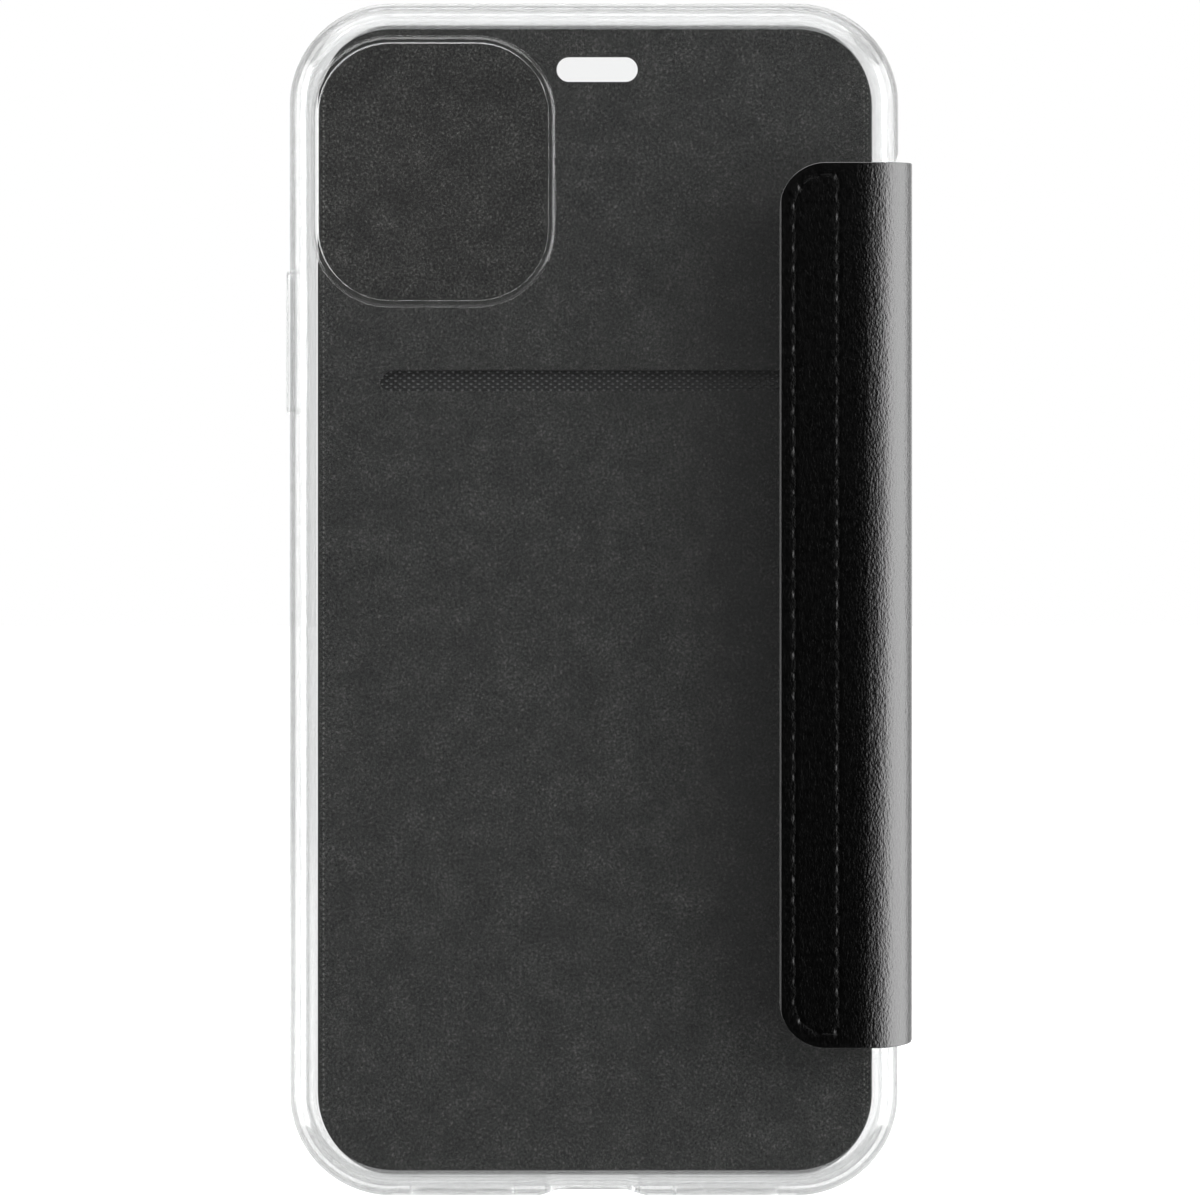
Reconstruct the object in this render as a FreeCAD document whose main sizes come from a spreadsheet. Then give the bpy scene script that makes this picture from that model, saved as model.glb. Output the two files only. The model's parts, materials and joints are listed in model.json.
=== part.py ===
import FreeCAD, Part
import math
import os
import Sketcher

# Folio phone wallet case: a clear moulded shell, and a sewn strip that wraps round its side to a front flap.
# It stands on its bottom edge. +Z runs up the case, +X to the hinge side, -Y out of the clear back
# and +Y out of the flap. Lengths are millimetres.

DRIVING_DIMENSIONS = [
    # the phone that the shell holds
    ("phone_width", 75.7),
    ("phone_height", 150.9),
    ("phone_corner", 11.7),
    ("phone_fit", 0.1),
    # clear shell
    ("wall", 1.25),
    ("back_thickness", 1.1),
    ("cavity_depth", 8.5),
    ("lip_height", 0.9),
    ("lip_overlap", 1.1),
    ("back_edge_radius", 3.5),
    ("front_edge_radius", 1.5),
    ("cavity_back_radius", 2.2),
    ("cavity_front_radius", 2.4),
    # camera cut-out and its raised rim, seen from the back
    ("camera_left", -35.4),
    ("camera_right", -5.9),
    ("camera_bottom", 115.3),
    ("camera_top", 148.3),
    ("camera_corner", 9.2),
    ("rim_width", 1.0),
    ("rim_height", 0.7),
    ("rim_edge_radius", 0.6),
    ("hole_edge_radius", 0.15),
    # charging port and speaker slots through the bottom wall
    ("port_centre", -0.2),
    ("port_width", 12.3),
    ("port_depth", 6.0),
    ("port_corner", 2.8),
    ("speaker_centre", 17.0),
    ("speaker_width", 13.6),
    ("speaker_depth", 2.2),
    ("speaker_corner", 1.0),
    # shallow notches with sloping ends, outside the port and outside the mute switch
    ("notch_depth", 0.9),
    ("notch_ramp", 2.7),
    ("notch_floor", 8.7),
    # mute switch cut-out on the hinge side
    ("mute_centre", 125.7),
    ("mute_height", 11.0),
    ("mute_depth", 5.4),
    ("mute_corner", 2.4),
    ("mute_margin", 0.4),
    # side button pads
    ("pad_depth", 3.4),
    ("pad_corner", 1.5),
    ("pad_proud", 0.45),
    ("pad_thickness", 1.3),
    ("pad_gap", 0.15),
    ("pad_edge_radius", 0.3),
    ("power_centre", 110.0),
    ("power_height", 18.4),
    ("volume_up_centre", 111.2),
    ("volume_down_centre", 98.6),
    ("volume_height", 10.2),
    # leather strip: tab on the back, spine round the side
    ("leather", 0.7),
    ("lining", 0.4),
    ("strip_bottom", 19.15),
    ("strip_top", 133.0),
    ("tab_left", 23.85),
    ("tab_corner", 6.0),
    ("spine_outer", 41.07),
    ("spine_lining_start", 1.2),
    ("hinge_gap", 0.15),
    # seam that sews the tab to the shell
    ("seam_left", 25.8),
    ("seam_right", 31.4),
    ("seam_bottom", 20.95),
    ("seam_top", 131.4),
    ("seam_left_corner", 4.05),
    ("seam_right_corner", 0.8),
    ("seam_pitch", 2.6),
    ("groove_width", 0.8),
    ("groove_depth", 0.25),
    ("bobbin_groove_depth", 0.45),
    ("thread_width", 0.5),
    # flap
    ("flap_gap", 0.4),
    ("flap_centre", 0.1),
    ("flap_half_width", 35.9),
    ("flap_bottom", 1.9),
    ("flap_top", 151.7),
    ("flap_corner", 11.0),
    ("flap_lining", 0.5),
    ("flap_lining_inset", 0.15),
    ("pocket_space", 0.8),
    ("pocket_weave", 0.2),
    ("flap_board", 0.5),
    # card pocket and earpiece hole in the flap
    ("slot_half_width", 27.8),
    ("slot_bottom", 103.8),
    ("slot_height", 2.7),
    ("slot_corner", 1.3),
    ("pocket_floor", 17.8),
    ("pocket_corner", 2.0),
    ("earpiece_centre", 0.4),
    ("earpiece_height", 145.5),
    ("earpiece_width", 10.5),
    ("earpiece_slot", 3.3),
    ("earpiece_corner", 1.6),
]

SHEET = "Dimensions"
# share of a stitch's pitch that shows as thread, as parts of STITCH_PARTS; the rest is the needle hole
STITCH_PARTS = 5
STITCH_SHOWN = 4
PAST = 1.0


class Length:
    """A length that carries both its value and the spreadsheet expression that gives it."""

    def __init__(self, value, text=None):
        self.value = float(value)
        self.text = text or f"{self.value:g}"

    def __add__(self, other):
        other = as_length(other)
        return Length(self.value + other.value, f"({self.text} + {other.text})")

    def __sub__(self, other):
        other = as_length(other)
        return Length(self.value - other.value, f"({self.text} - {other.text})")

    def __mul__(self, factor):
        return Length(self.value * factor, f"({self.text} * {factor:g})")

    def __neg__(self):
        return Length(-self.value, f"(0 - {self.text})")

    __radd__ = __add__
    __rmul__ = __mul__


def as_length(number):
    return number if isinstance(number, Length) else Length(number)


def make_sheet(doc):
    """Writes the driving dimensions into the spreadsheet and returns them as lengths, by name."""
    sheet = doc.addObject("Spreadsheet::Sheet", SHEET)
    lengths = {}
    for row, (name, number) in enumerate(DRIVING_DIMENSIONS, start=1):
        sheet.set(f"A{row}", name)
        sheet.set(f"B{row}", str(number))
        sheet.setAlias(f"B{row}", name)
        lengths[name] = Length(number, f"{SHEET}.{name}")
    doc.recompute()
    return lengths


doc = FreeCAD.newDocument("phone_wallet_case")
size = make_sheet(doc)

# shell
half_cavity = size["phone_width"] * 0.5 + size["phone_fit"]
half_shell = half_cavity + size["wall"]
cavity_bottom = size["wall"]
cavity_top = cavity_bottom + size["phone_height"] + size["phone_fit"] * 2
shell_top = cavity_top + size["wall"]
cavity_corner = size["phone_corner"] + size["phone_fit"]
shell_corner = cavity_corner + size["wall"]
cavity_front = size["back_thickness"] + size["cavity_depth"]
shell_front = cavity_front + size["lip_height"]
side_middle = size["back_thickness"] + size["cavity_depth"] * 0.5

# strip, from the shell's back outwards
strip_thickness = size["leather"] + size["lining"]
tab_outer = -strip_thickness
flap_right = size["flap_centre"] + size["flap_half_width"]
hinge_x = flap_right + size["hinge_gap"]
spine_start = hinge_x + size["hinge_gap"]

# flap layers, from the shell's front outwards
flap_inner = shell_front + size["flap_gap"]
lining_outer = flap_inner + size["flap_lining"]
space_outer = lining_outer + size["pocket_space"]
weave_outer = space_outer + size["pocket_weave"]
board_outer = weave_outer + size["flap_board"]
flap_outer = board_outer + size["leather"]

# the row frame's origin is the bottom centre of the whole case
frame_x = (size["spine_outer"] - half_shell - size["pad_proud"]) * 0.5
frame_y = (flap_outer + tab_outer) * 0.5


def place(thing):
    """Moves a sub-part from the shell's own centre and back face to the row frame."""
    thing.setExpression("Placement.Base.x", (-frame_x).text)
    thing.setExpression("Placement.Base.y", (-frame_y).text)
    return thing


def new_body(label):
    body = doc.addObject("PartDesign::Body", label)
    body.Label = label
    return place(body)


def sketch_on(body, name, plane, level):
    """An empty sketch on one of the body's origin planes, moved along the plane's normal to level."""
    sketch = body.newObject("Sketcher::SketchObject", f"{body.Label}_{name}")
    support = next(f for f in body.Origin.OriginFeatures if f.Role == plane)
    sketch.AttachmentSupport = (support, [""])
    sketch.MapMode = "FlatFace"
    sketch.setExpression("AttachmentOffset.Base.z", as_length(level).text)
    return sketch


def bind(sketch, constraint, length):
    """Adds a dimensional constraint and binds it to the length's expression."""
    index = sketch.addConstraint(Sketcher.Constraint(*constraint, length.value))
    sketch.setExpression(f"Constraints[{index}]", length.text)


def add_box_outline(sketch, left, right, bottom, top, left_radius, right_radius=None):
    """A closed upright rectangle. A corner radius of None leaves that side's corners square."""
    left, right, bottom, top = (as_length(side) for side in (left, right, bottom, top))
    corners = [
        (left, bottom, left_radius, math.pi),
        (right, bottom, right_radius, 1.5 * math.pi),
        (right, top, right_radius, 0.0),
        (left, top, left_radius, 0.5 * math.pi),
    ]
    inward = [(1, 1), (-1, 1), (-1, -1), (1, -1)]
    ends = []
    arcs = []
    for (across, up, radius, start), (turn_x, turn_y) in zip(corners, inward):
        if radius is None:
            point = FreeCAD.Vector(across.value, up.value, 0)
            ends.append((point, point))
            arcs.append(None)
            continue
        r = as_length(radius).value
        centre = FreeCAD.Vector(across.value + turn_x * r, up.value + turn_y * r, 0)
        circle = Part.Circle(centre, FreeCAD.Vector(0, 0, 1), r)
        arc = Part.ArcOfCircle(circle, start, start + 0.5 * math.pi)
        ends.append((arc.StartPoint, arc.EndPoint))
        arcs.append(arc)
    sides = []
    for here in range(4):
        following = (here + 1) % 4
        sides.append(sketch.addGeometry(Part.LineSegment(ends[here][1], ends[following][0])))
    turned = [None if arc is None else sketch.addGeometry(arc) for arc in arcs]
    for here in range(4):
        before = sides[here - 1]
        after = sides[here]
        if turned[here] is None:
            sketch.addConstraint(Sketcher.Constraint("Coincident", before, 2, after, 1))
            continue
        sketch.addConstraint(Sketcher.Constraint("Tangent", before, 2, turned[here], 1))
        sketch.addConstraint(Sketcher.Constraint("Tangent", turned[here], 2, after, 1))
        bind(sketch, ("Radius", turned[here]), as_length(corners[here][2]))
    for here, direction in enumerate(("Horizontal", "Vertical", "Horizontal", "Vertical")):
        sketch.addConstraint(Sketcher.Constraint(direction, sides[here]))
    bind(sketch, ("DistanceY", -1, 1, sides[0], 1), bottom)
    bind(sketch, ("DistanceX", -1, 1, sides[1], 1), right)
    bind(sketch, ("DistanceY", -1, 1, sides[2], 1), top)
    bind(sketch, ("DistanceX", -1, 1, sides[3], 1), left)


def add_rounded_outline(sketch, left, right, bottom, top, radius):
    add_box_outline(sketch, left, right, bottom, top, radius, radius)


def add_polygon(sketch, points):
    """A closed polygon whose every corner is fixed from the sketch's origin."""
    count = len(points)
    places = [FreeCAD.Vector(across.value, up.value, 0) for across, up in points]
    lines = [
        sketch.addGeometry(Part.LineSegment(places[i], places[(i + 1) % count])) for i in range(count)
    ]
    for i, (across, up) in enumerate(points):
        sketch.addConstraint(Sketcher.Constraint("Coincident", lines[i - 1], 2, lines[i], 1))
        bind(sketch, ("DistanceX", -1, 1, lines[i], 1), across)
        bind(sketch, ("DistanceY", -1, 1, lines[i], 1), up)


def pad(body, sketch, length, reverse=False):
    feature = body.newObject("PartDesign::Pad", f"{sketch.Name}_pad")
    feature.Profile = sketch
    feature.Reversed = reverse
    feature.setExpression("Length", as_length(length).text)
    sketch.Visibility = False
    return feature


def cut(body, sketch, length=None, reverse=False):
    """A pocket of the sketch, through everything where no length is given. It must remove material."""
    doc.recompute()
    before = body.Shape.Volume
    feature = body.newObject("PartDesign::Pocket", f"{sketch.Name}_cut")
    feature.Profile = sketch
    feature.Reversed = reverse
    if length is None:
        feature.Type = "ThroughAll"
        feature.Midplane = True
    else:
        feature.setExpression("Length", as_length(length).text)
    doc.recompute()
    if not body.Shape.Volume < before - 1e-6:
        raise RuntimeError(f"{feature.Name} cuts nothing")
    return feature


def round_edges(body, name, radius, wanted):
    """Fillets every edge of the body that wanted(edge) picks."""
    doc.recompute()
    base = body.Tip
    names = [f"Edge{i}" for i, edge in enumerate(base.Shape.Edges, start=1) if wanted(edge)]
    if not names:
        raise RuntimeError(f"{name} finds no edges")
    fillet = body.newObject("PartDesign::Fillet", f"{body.Label}_{name}")
    fillet.Base = (base, names)
    fillet.setExpression("Radius", radius.text)
    doc.recompute()
    return fillet


def lies_at(axis, level, inside=None, margin=PAST):
    """Picks the edges in the plane axis = level and, if inside is given, within that box and its margin."""

    def wanted(edge):
        box = edge.BoundBox
        low = getattr(box, f"{axis}Min")
        high = getattr(box, f"{axis}Max")
        flat = abs(low - level.value) < 1e-4 and abs(high - level.value) < 1e-4
        if not flat or inside is None:
            return flat
        left, right, bottom, top = (side.value for side in inside)
        across = box.XMin > left - margin and box.XMax < right + margin
        return across and box.ZMin > bottom - margin and box.ZMax < top + margin

    return wanted


def make_clear_shell():
    """One clear soft moulding: flat back, walls round the phone's sides, and a lip round the screen."""
    body = new_body("clear_shell")
    outline = sketch_on(body, "outline", "XZ_Plane", 0)
    add_rounded_outline(outline, -half_shell, half_shell, 0, shell_top, shell_corner)
    pad(body, outline, shell_front, reverse=True)
    round_edges(body, "back_edge", size["back_edge_radius"], lies_at("Y", Length(0)))
    round_edges(body, "front_edge", size["front_edge_radius"], lies_at("Y", shell_front))

    cavity = sketch_on(body, "cavity", "XZ_Plane", -size["back_thickness"])
    add_rounded_outline(cavity, -half_cavity, half_cavity, cavity_bottom, cavity_top, cavity_corner)
    cut(body, cavity, size["cavity_depth"])
    round_edges(body, "cavity_back", size["cavity_back_radius"], lies_at("Y", size["back_thickness"]))
    round_edges(body, "cavity_front", size["cavity_front_radius"], lies_at("Y", cavity_front))

    opening = sketch_on(body, "screen_opening", "XZ_Plane", -side_middle)
    inset = size["lip_overlap"]
    add_rounded_outline(
        opening,
        inset - half_cavity,
        half_cavity - inset,
        cavity_bottom + inset,
        cavity_top - inset,
        cavity_corner - inset,
    )
    cut(body, opening, size["cavity_depth"])

    add_camera_cutout(body)
    add_bottom_openings(body)
    add_mute_cutout(body)
    for side, centre, height in button_places():
        add_button_window(body, side, centre, height)
    groove = sketch_on(body, "bobbin_groove", "XZ_Plane", -size["back_thickness"])
    add_seam_groove(groove)
    cut(body, groove, size["bobbin_groove_depth"], reverse=True)
    return body


def add_camera_cutout(body):
    sides = [size["camera_left"], size["camera_right"], size["camera_bottom"], size["camera_top"]]
    width = size["rim_width"]
    around = [sides[0] - width, sides[1] + width, sides[2] - width, sides[3] + width]
    rim = sketch_on(body, "camera_rim", "XZ_Plane", size["back_thickness"] * -0.5)
    add_rounded_outline(rim, *around, size["camera_corner"] + width)
    pad(body, rim, size["rim_height"] + size["back_thickness"] * 0.5)
    round_edges(body, "camera_rim_edge", size["rim_edge_radius"], lies_at("Y", -size["rim_height"], around))
    hole = sketch_on(body, "camera_hole", "XZ_Plane", 0)
    add_rounded_outline(hole, *sides, size["camera_corner"])
    cut(body, hole)
    at_hole = lies_at("Y", -size["rim_height"], sides, 0.01)
    round_edges(body, "camera_hole_edge", size["hole_edge_radius"], at_hole)


def add_bottom_openings(body):
    notch = sketch_on(body, "port_notch", "XZ_Plane", 0)
    half_floor = size["notch_floor"] * 0.5
    half_mouth = half_floor + size["notch_ramp"]
    centre = size["port_centre"]
    points = [
        (centre - half_mouth, Length(-PAST)),
        (centre + half_mouth, Length(-PAST)),
        (centre + half_mouth, Length(0)),
        (centre + half_floor, size["notch_depth"]),
        (centre - half_floor, size["notch_depth"]),
        (centre - half_mouth, Length(0)),
    ]
    add_polygon(notch, points)
    cut(body, notch)

    through_wall = size["wall"] + PAST
    holes = [("port", centre, "port"), ("speaker_left", -size["speaker_centre"], "speaker")]
    holes.append(("speaker_right", size["speaker_centre"], "speaker"))
    for name, middle, kind in holes:
        hole = sketch_on(body, name, "XY_Plane", through_wall)
        half_width = size[f"{kind}_width"] * 0.5
        half_depth = size[f"{kind}_depth"] * 0.5
        add_rounded_outline(
            hole,
            middle - half_width,
            middle + half_width,
            side_middle - half_depth,
            side_middle + half_depth,
            size[f"{kind}_corner"],
        )
        cut(body, hole, through_wall + PAST)


def add_mute_cutout(body):
    notch = sketch_on(body, "mute_notch", "XZ_Plane", 0)
    half_floor = size["mute_height"] * 0.5 + size["mute_margin"]
    half_mouth = half_floor + size["notch_ramp"]
    centre = size["mute_centre"]
    points = [
        (half_shell + PAST, centre - half_mouth),
        (half_shell + PAST, centre + half_mouth),
        (half_shell, centre + half_mouth),
        (half_shell - size["notch_depth"], centre + half_floor),
        (half_shell - size["notch_depth"], centre - half_floor),
        (half_shell, centre - half_mouth),
    ]
    add_polygon(notch, points)
    cut(body, notch)
    hole = sketch_on(body, "mute_hole", "YZ_Plane", half_shell)
    half_height = size["mute_height"] * 0.5
    half_depth = size["mute_depth"] * 0.5
    add_rounded_outline(
        hole,
        side_middle - half_depth,
        side_middle + half_depth,
        centre - half_height,
        centre + half_height,
        size["mute_corner"],
    )
    cut(body, hole, size["wall"] + PAST)


def button_places():
    """Side (-1 or +1 along X), middle height and height of each button pad, in the order of BUTTONS."""
    return [
        (-1, size["power_centre"], size["power_height"]),
        (1, size["volume_up_centre"], size["volume_height"]),
        (1, size["volume_down_centre"], size["volume_height"]),
    ]


BUTTONS = ["power_button_pad", "volume_up_pad", "volume_down_pad"]


def add_button_outline(sketch, centre, height, around):
    half_height = height * 0.5 + around
    half_depth = size["pad_depth"] * 0.5 + around
    add_rounded_outline(
        sketch,
        side_middle - half_depth,
        side_middle + half_depth,
        centre - half_height,
        centre + half_height,
        size["pad_corner"] + around,
    )


def add_button_window(body, side, centre, height):
    name = "window_left" if side < 0 else f"window_right_{centre.value:.0f}"
    window = sketch_on(body, name, "YZ_Plane", half_shell * side)
    add_button_outline(window, centre, height, size["pad_gap"])
    cut(body, window, size["wall"] + PAST, reverse=side < 0)


def make_button_pad(label, side, centre, height):
    """A raised pad over one of the phone's side buttons. It stands proud of the wall and presses inwards."""
    body = new_body(label)
    outer = half_shell + size["pad_proud"]
    face = sketch_on(body, "face", "YZ_Plane", outer * side)
    add_button_outline(face, centre, height, Length(0))
    pad(body, face, size["pad_thickness"], reverse=side > 0)
    round_edges(body, "edge", size["pad_edge_radius"], lies_at("X", outer * side))
    return body


def make_slab(label, near, far, outline):
    """A flat sheet between the depths near and far. outline(sketch) draws its shape."""
    body = new_body(label)
    sketch = sketch_on(body, "outline", "XZ_Plane", -far)
    outline(sketch)
    pad(body, sketch, far - near)
    return body


def draw_tab(sketch):
    add_box_outline(
        sketch, size["tab_left"], flap_right, size["strip_bottom"], size["strip_top"], size["tab_corner"]
    )


def add_seam_groove(sketch):
    """Two nested outlines, half a groove's width to either side of the seam."""
    half = size["groove_width"] * 0.5
    for away in (half, -half):
        add_box_outline(
            sketch,
            size["seam_left"] - away,
            size["seam_right"] + away,
            size["seam_bottom"] - away,
            size["seam_top"] + away,
            size["seam_left_corner"] + away,
            size["seam_right_corner"] + away,
        )


def make_tab_leather():
    body = new_body("tab_leather")
    sketch = sketch_on(body, "outline", "XZ_Plane", size["lining"])
    draw_tab(sketch)
    pad(body, sketch, size["leather"])
    groove = sketch_on(body, "seam_groove", "XZ_Plane", strip_thickness)
    add_seam_groove(groove)
    cut(body, groove, size["groove_depth"])
    return body


def make_tab_lining():
    return make_slab("tab_lining", -size["lining"], Length(0), draw_tab)


def seam_runs(depth):
    """The seam's centre line in two runs. They end at the fold side's corners, where the needle turns."""
    left, right = size["seam_left"].value, size["seam_right"].value
    bottom, top = size["seam_bottom"].value, size["seam_top"].value
    big, small = size["seam_left_corner"].value, size["seam_right_corner"].value
    low_end = FreeCAD.Vector(right - small, depth, bottom)
    high_end = FreeCAD.Vector(right - small, depth, top)
    free_side = []
    last = high_end
    for up, turn, start in ((top, -1, 90), (bottom, 1, 180)):
        centre = FreeCAD.Vector(left + big, depth, up + turn * big)
        angles = [math.radians(start + step) for step in (0, 45, 90)]
        points = [
            centre + FreeCAD.Vector(math.cos(a), 0, math.sin(a)) * big for a in angles
        ]
        free_side.append(Part.LineSegment(last, points[0]).toShape())
        free_side.append(Part.Arc(*points).toShape())
        last = points[-1]
    free_side.append(Part.LineSegment(last, low_end).toShape())
    fold_ends = [FreeCAD.Vector(right, depth, level) for level in (bottom + small, top - small)]
    fold_side = Part.LineSegment(*fold_ends).toShape()
    return [Part.Wire(free_side), Part.Wire([fold_side])]


def stitch_bar(start, end, outer, thickness):
    """One stitch: a straight bar from start to end, its outer face at the depth outer."""
    along = end - start
    width = size["thread_width"].value
    bar = Part.makeBox(along.Length, thickness, width, FreeCAD.Vector(0, 0, -width / 2))
    bar.rotate(FreeCAD.Vector(), FreeCAD.Vector(0, 1, 0), -math.degrees(math.atan2(along.z, along.x)))
    bar.translate(FreeCAD.Vector(start.x, outer, start.z))
    return bar


def make_thread(label, outer, thickness):
    """All the stitches on one side of the seam, as separate solids. Each run starts and ends with one."""
    bars = []
    for run in seam_runs(outer):
        count = round(run.Length / size["seam_pitch"].value)
        points = run.discretize(Number=STITCH_PARTS * count)
        starts = range(0, STITCH_PARTS * count, STITCH_PARTS)
        bars += [stitch_bar(points[i], points[i + STITCH_SHOWN], outer, thickness) for i in starts]
    thread = doc.addObject("Part::Feature", label)
    thread.Label = label
    thread.Shape = Part.makeCompound(bars)
    return place(thread)


def make_threads():
    needle = make_thread("tab_needle_thread", tab_outer.value, size["groove_depth"].value)
    groove_floor = size["back_thickness"].value - size["bobbin_groove_depth"].value
    bobbin = make_thread("tab_bobbin_thread", groove_floor, size["bobbin_groove_depth"].value * 0.8)
    return [needle, bobbin]


def make_spine_layer(label, outer_skin, inner_skin, start):
    """A C-shaped sheet round the shell's side. The skins are depths below the spine's outer face."""
    body = new_body(label)
    sketch = sketch_on(body, "section", "XY_Plane", size["strip_bottom"])
    radius = size["spine_outer"] - spine_start
    middles = [tab_outer + radius, flap_outer - radius]
    add_spine_section(sketch, radius, middles, (outer_skin, inner_skin), start)
    pad(body, sketch, size["strip_top"] - size["strip_bottom"])
    return body


def add_spine_section(sketch, radius, middles, skins, start):
    """Two nested runs of arc, side and arc, joined by short ends at start past the centres of the arcs."""
    runs = []
    for skin in skins:
        r = radius - skin
        lean = math.acos(start.value / r.value) if start.value else 0.5 * math.pi
        centres = [FreeCAD.Vector(spine_start.value, m.value, 0) for m in middles]
        circles = [Part.Circle(c, FreeCAD.Vector(0, 0, 1), r.value) for c in centres]
        low = sketch.addGeometry(Part.ArcOfCircle(circles[0], -lean, 0.0))
        high = sketch.addGeometry(Part.ArcOfCircle(circles[1], 0.0, lean))
        bottom = FreeCAD.Vector(spine_start.value + r.value, middles[0].value, 0)
        top = FreeCAD.Vector(spine_start.value + r.value, middles[1].value, 0)
        side = sketch.addGeometry(Part.LineSegment(bottom, top))
        sketch.addConstraint(Sketcher.Constraint("Tangent", low, 2, side, 1))
        sketch.addConstraint(Sketcher.Constraint("Tangent", side, 2, high, 1))
        sketch.addConstraint(Sketcher.Constraint("Vertical", side))
        bind(sketch, ("Radius", low), r)
        bind(sketch, ("Radius", high), r)
        bind(sketch, ("DistanceX", -1, 1, low, 3), spine_start)
        bind(sketch, ("DistanceY", -1, 1, low, 3), middles[0])
        bind(sketch, ("DistanceY", -1, 1, high, 3), middles[1])
        bind(sketch, ("DistanceX", -1, 1, low, 1), spine_start + start)
        bind(sketch, ("DistanceX", -1, 1, high, 2), spine_start + start)
        runs.append((low, high))
    (outer_low, outer_high), (inner_low, inner_high) = runs
    for outer, inner, end in ((outer_low, inner_low, 1), (outer_high, inner_high, 2)):
        points = [sketch.getPoint(edge, end) for edge in (outer, inner)]
        closing = sketch.addGeometry(Part.LineSegment(*points))
        sketch.addConstraint(Sketcher.Constraint("Coincident", outer, end, closing, 1))
        sketch.addConstraint(Sketcher.Constraint("Coincident", inner, end, closing, 2))


def make_spine():
    leather = make_spine_layer("spine_leather", Length(0), size["leather"], Length(0))
    lining = make_spine_layer("spine_lining", size["leather"], strip_thickness, size["spine_lining_start"])
    return [leather, lining]


def draw_flap(sketch, inset=None):
    """The flap's outline, drawn in by inset, with the earpiece hole through it."""
    inset = inset or Length(0)
    left = size["flap_centre"] - size["flap_half_width"] + inset
    bottom = size["flap_bottom"] + inset
    top = size["flap_top"] - inset
    add_rounded_outline(sketch, left, flap_right - inset, bottom, top, size["flap_corner"] - inset)
    half_hole = size["earpiece_width"] * 0.5
    half_slot = size["earpiece_slot"] * 0.5
    add_rounded_outline(
        sketch,
        size["earpiece_centre"] - half_hole,
        size["earpiece_centre"] + half_hole,
        size["earpiece_height"] - half_slot,
        size["earpiece_height"] + half_slot,
        size["earpiece_corner"],
    )


def draw_pocket_frame(sketch):
    """The flap's outline less the card's space, from the pocket's floor to the top of the slot."""
    draw_flap(sketch)
    half = size["slot_half_width"]
    top = size["slot_bottom"] + size["slot_height"]
    add_rounded_outline(sketch, -half, half, size["pocket_floor"], top, size["pocket_corner"])


def draw_flap_lining(sketch):
    """The lining's outline with the card slot's mouth."""
    draw_flap(sketch, size["flap_lining_inset"])
    half = size["slot_half_width"]
    top = size["slot_bottom"] + size["slot_height"]
    add_rounded_outline(sketch, -half, half, size["slot_bottom"], top, size["slot_corner"])


def make_flap():
    return [
        make_slab("flap_lining", flap_inner, lining_outer, draw_flap_lining),
        make_slab("pocket_frame", lining_outer, space_outer, draw_pocket_frame),
        make_slab("pocket_weave", space_outer, weave_outer, draw_flap),
        make_slab("flap_board", weave_outer, board_outer, draw_flap),
        make_slab("flap_leather", board_outer, flap_outer, draw_flap),
    ]


def check_document(parts):
    """Stops the build if any object failed or any sub-part has no sound shape."""
    for thing in doc.Objects:
        if any(word in thing.State for word in ("Invalid", "Error")):
            raise RuntimeError(f"{thing.Name} failed: {thing.State}")
    for thing in parts:
        if thing.Shape.isNull() or not thing.Shape.isValid():
            raise RuntimeError(f"{thing.Label} has no valid shape")


def export(parts):
    os.makedirs("parts", exist_ok=True)
    for thing in parts:
        thing.Shape.exportStep(f"parts/{thing.Label}.step")


parts = [make_clear_shell(), make_tab_leather(), make_tab_lining(), *make_threads()]
parts += [make_button_pad(label, *spot) for label, spot in zip(BUTTONS, button_places())]
parts += make_spine()
parts += make_flap()
doc.recompute()
check_document(parts)
export(parts)
for thing in parts:
    box = thing.Shape.BoundBox
    print(f"{thing.Label}: {len(thing.Shape.Solids)} solids, {thing.Shape.Volume:.1f} mm3, {box}")
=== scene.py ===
import json
import math

import bmesh
import bpy
import numpy as np
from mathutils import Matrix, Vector


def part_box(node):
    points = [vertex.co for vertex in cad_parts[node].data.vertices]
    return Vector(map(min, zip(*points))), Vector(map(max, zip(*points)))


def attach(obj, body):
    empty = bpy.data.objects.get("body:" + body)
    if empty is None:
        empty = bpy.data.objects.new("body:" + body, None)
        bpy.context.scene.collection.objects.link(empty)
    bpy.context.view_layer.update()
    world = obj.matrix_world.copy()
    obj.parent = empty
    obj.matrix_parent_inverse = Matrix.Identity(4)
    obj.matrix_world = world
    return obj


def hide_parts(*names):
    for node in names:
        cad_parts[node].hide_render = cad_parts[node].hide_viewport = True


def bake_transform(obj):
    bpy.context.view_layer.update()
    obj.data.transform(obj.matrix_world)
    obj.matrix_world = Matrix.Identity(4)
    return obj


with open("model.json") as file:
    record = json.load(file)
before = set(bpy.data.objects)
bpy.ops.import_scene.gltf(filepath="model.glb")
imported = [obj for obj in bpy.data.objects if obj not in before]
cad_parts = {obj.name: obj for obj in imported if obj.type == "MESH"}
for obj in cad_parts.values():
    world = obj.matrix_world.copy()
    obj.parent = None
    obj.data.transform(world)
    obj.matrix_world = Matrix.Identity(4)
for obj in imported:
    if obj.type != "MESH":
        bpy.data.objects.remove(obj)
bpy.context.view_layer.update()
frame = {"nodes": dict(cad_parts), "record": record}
nodes = frame["nodes"]

# Build coordinates are millimetres: x from the shell's middle, y from its back face outwards
# through the flap, z up from the surface that the case stands on.
MM = 0.001
UV_PER_MM = 0.01
shell_low, shell_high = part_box("clear_shell")
ORIGIN = Vector(((shell_low.x + shell_high.x) / 2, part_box("tab_lining")[1].y, shell_low.z))


def row(x, y, z):
    """A point in build coordinates, as the row frame's metres."""
    return ORIGIN + Vector((x, y, z)) * MM


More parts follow.
